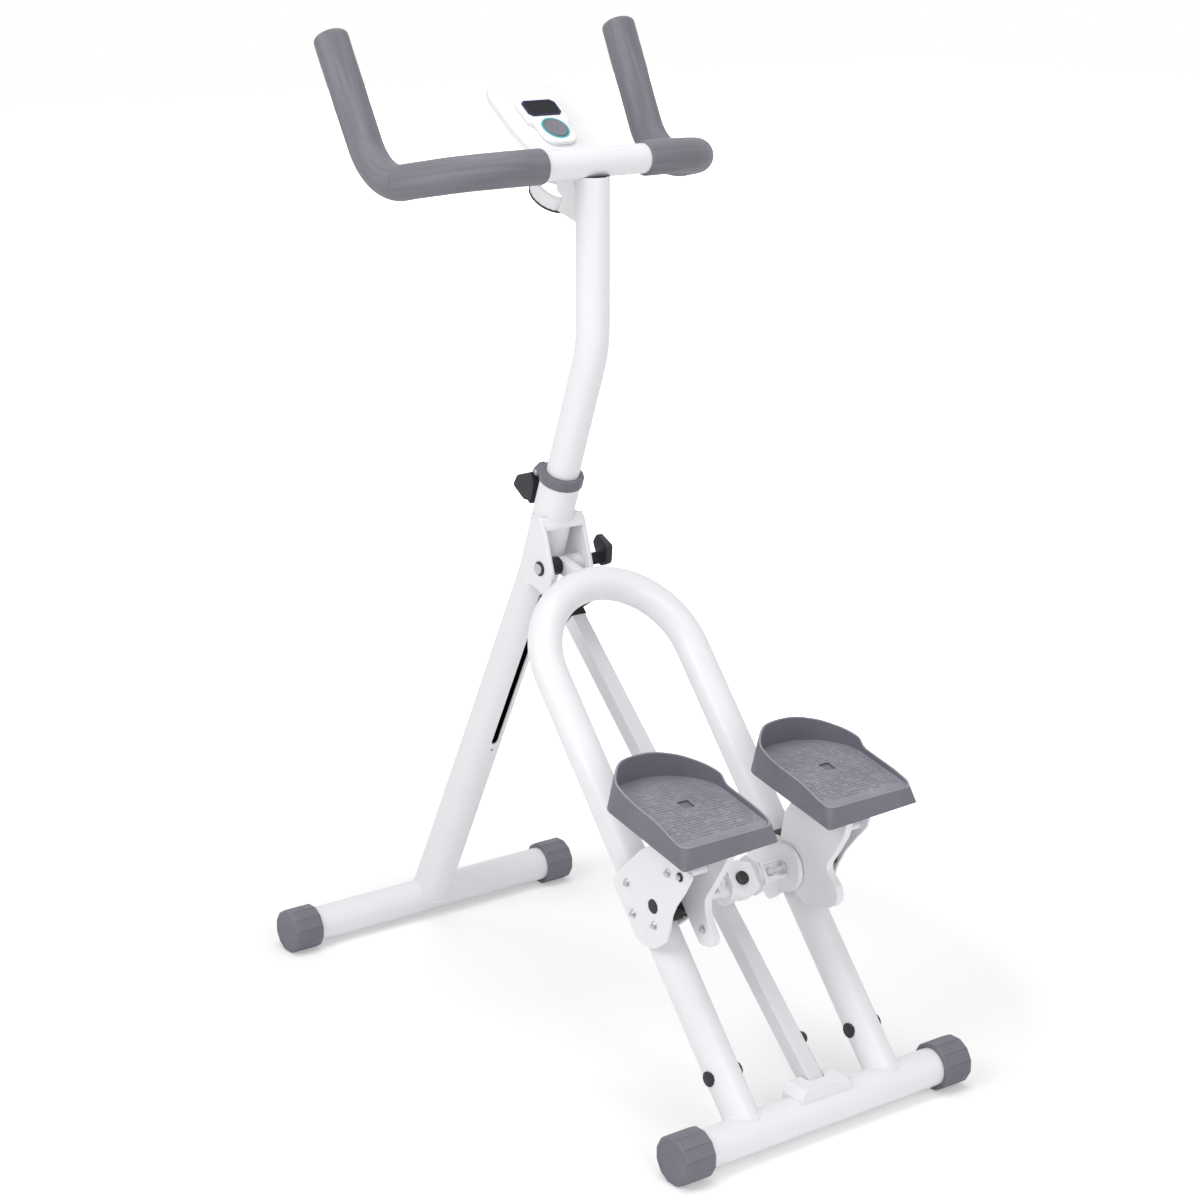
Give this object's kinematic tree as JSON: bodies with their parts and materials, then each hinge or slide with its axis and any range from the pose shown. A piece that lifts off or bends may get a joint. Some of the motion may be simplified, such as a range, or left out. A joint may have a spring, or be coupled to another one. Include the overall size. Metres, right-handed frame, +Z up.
{
  "type": "vertical climber",
  "caption": "Folding vertical climbing exerciser: sloped rails with sliding pedals linked by a rocker, and a telescopic mast with horned grips and a console.",
  "frame": {"origin": "on the floor, at the centre of the bounding box", "axes": "+Z up, +Y from the rear base towards the front base and console, +X to the user's right"},
  "size_m": [0.5322, 0.992, 1.39],
  "materials": {
    "white_powder_coat": "glossy white powder coat",
    "white_plastic": "satin moulded white",
    "grey_foam": "matt closed-cell foam",
    "grey_plastic": "satin moulded grey",
    "dark_plastic": "satin moulded, near black",
    "black_nylon": "black nylon",
    "zinc_plate": "bright zinc plate",
    "spring_steel": "dark spring wire",
    "display_glass": "dark clear window",
    "teal_ring": "glossy teal"
  },
  "bodies": {
    "stand": {"front_base_tube": "white_powder_coat", "front_cap_left": "grey_plastic", "front_cap_right": "grey_plastic", "front_upright": "white_powder_coat", "slot_spring": "spring_steel", "hinge_bracket": "white_powder_coat", "hinge_washer": "dark_plastic", "hinge_bolt": "zinc_plate", "height_collar": "grey_plastic", "lever_pin": "zinc_plate"},
    "rear_frame": {"rear_base_tube": "white_powder_coat", "rear_cap_left": "grey_plastic", "rear_cap_right": "grey_plastic", "rail_frame_tube": "white_powder_coat", "rail_plug_left_inner": "dark_plastic", "rail_plug_left_outer": "dark_plastic", "rail_plug_right_inner": "dark_plastic", "rail_plug_right_outer": "dark_plastic", "hinge_tongue": "white_powder_coat", "hinge_bush_left": "dark_plastic", "hinge_bush_right": "dark_plastic", "centre_bar": "white_powder_coat", "bar_saddle": "white_powder_coat", "bar_bumper": "dark_plastic", "bar_strip": "black_nylon", "bar_top_foot": "black_nylon", "rocker_axle": "zinc_plate", "rocker_mount": "white_powder_coat"},
    "mast": {"mast": "white_powder_coat", "handlebar_tube": "white_powder_coat", "foam_grip_left": "grey_foam", "foam_grip_right": "grey_foam", "console_plate": "white_plastic", "console_module": "white_plastic", "console_display": "display_glass", "button_ring": "teal_ring", "console_hoop": "white_plastic"},
    "console_button": {"console_button": "grey_plastic"},
    "height_lever": {"height_lever": "grey_plastic"},
    "hinge_lock_knob": {"hinge_lock_knob": "dark_plastic"},
    "rocker": {"rocker": "white_powder_coat"},
    "carriage_left": {"slider_block_left": "black_nylon", "outer_plate_left": "white_powder_coat", "plate_plug_left": "dark_plastic", "drive_lug_left": "white_powder_coat", "drive_pin_left": "zinc_plate", "pedal_arm_left": "white_powder_coat", "spacer_front_left": "zinc_plate", "spacer_rear_left": "zinc_plate", "pedal_left": "grey_plastic"},
    "carriage_right": {"slider_block_right": "black_nylon", "outer_plate_right": "white_powder_coat", "plate_plug_right": "dark_plastic", "drive_lug_right": "white_powder_coat", "drive_pin_right": "zinc_plate", "pedal_arm_right": "white_powder_coat", "spacer_front_right": "zinc_plate", "spacer_rear_right": "zinc_plate", "pedal_right": "grey_plastic"}
  },
  "joints": [
    {"name": "fold_hinge", "type": "hinge", "parent": "stand", "child": "rear_frame", "pos_m": [0, 0.10349, 0.64801], "axis": [1, 0, 0], "range_deg": [0, 42]},
    {"name": "mast_slide", "type": "slide", "parent": "stand", "child": "mast", "axis": [0, -0.3515, 0.9362], "range_m": [-0.02, 0.06]},
    {"name": "height_lever_hinge", "type": "hinge", "parent": "stand", "child": "height_lever", "pos_m": [0, 0.14687, 0.7767], "axis": [1, 0, 0], "range_deg": [0, 90]},
    {"name": "lock_knob_turn", "type": "hinge", "parent": "stand", "child": "hinge_lock_knob", "pos_m": [0, 0.10349, 0.64801], "axis": [1, 0, 0], "range_deg": [0, 360]},
    {"name": "carriage_left_slide", "type": "slide", "parent": "rear_frame", "child": "carriage_left", "axis": [0, 0.6401, 0.7683], "range_m": [-0.038, 0.038]},
    {"name": "carriage_right_slide", "type": "slide", "parent": "rear_frame", "child": "carriage_right", "axis": [0, 0.6401, 0.7683], "range_m": [-0.038, 0.038]},
    {"name": "rocker_hinge", "type": "hinge", "parent": "rear_frame", "child": "rocker", "pos_m": [0, -0.28683, 0.29141], "axis": [0, -0.7683, 0.6401], "range_deg": [-35.3, 35.3]},
    {"name": "button_press", "type": "slide", "parent": "mast", "child": "console_button", "axis": [0, 0.5878, -0.809], "range_m": [0, 0.0015], "stiffness_N_per_m": 600, "springref_m": -0.0005}
  ],
  "couplings": [
    {"joint": "carriage_right_slide", "follows": "carriage_left_slide", "ratio": -1},
    {"joint": "rocker_hinge", "follows": "carriage_left_slide", "rad_per_m": -16.13}
  ]
}
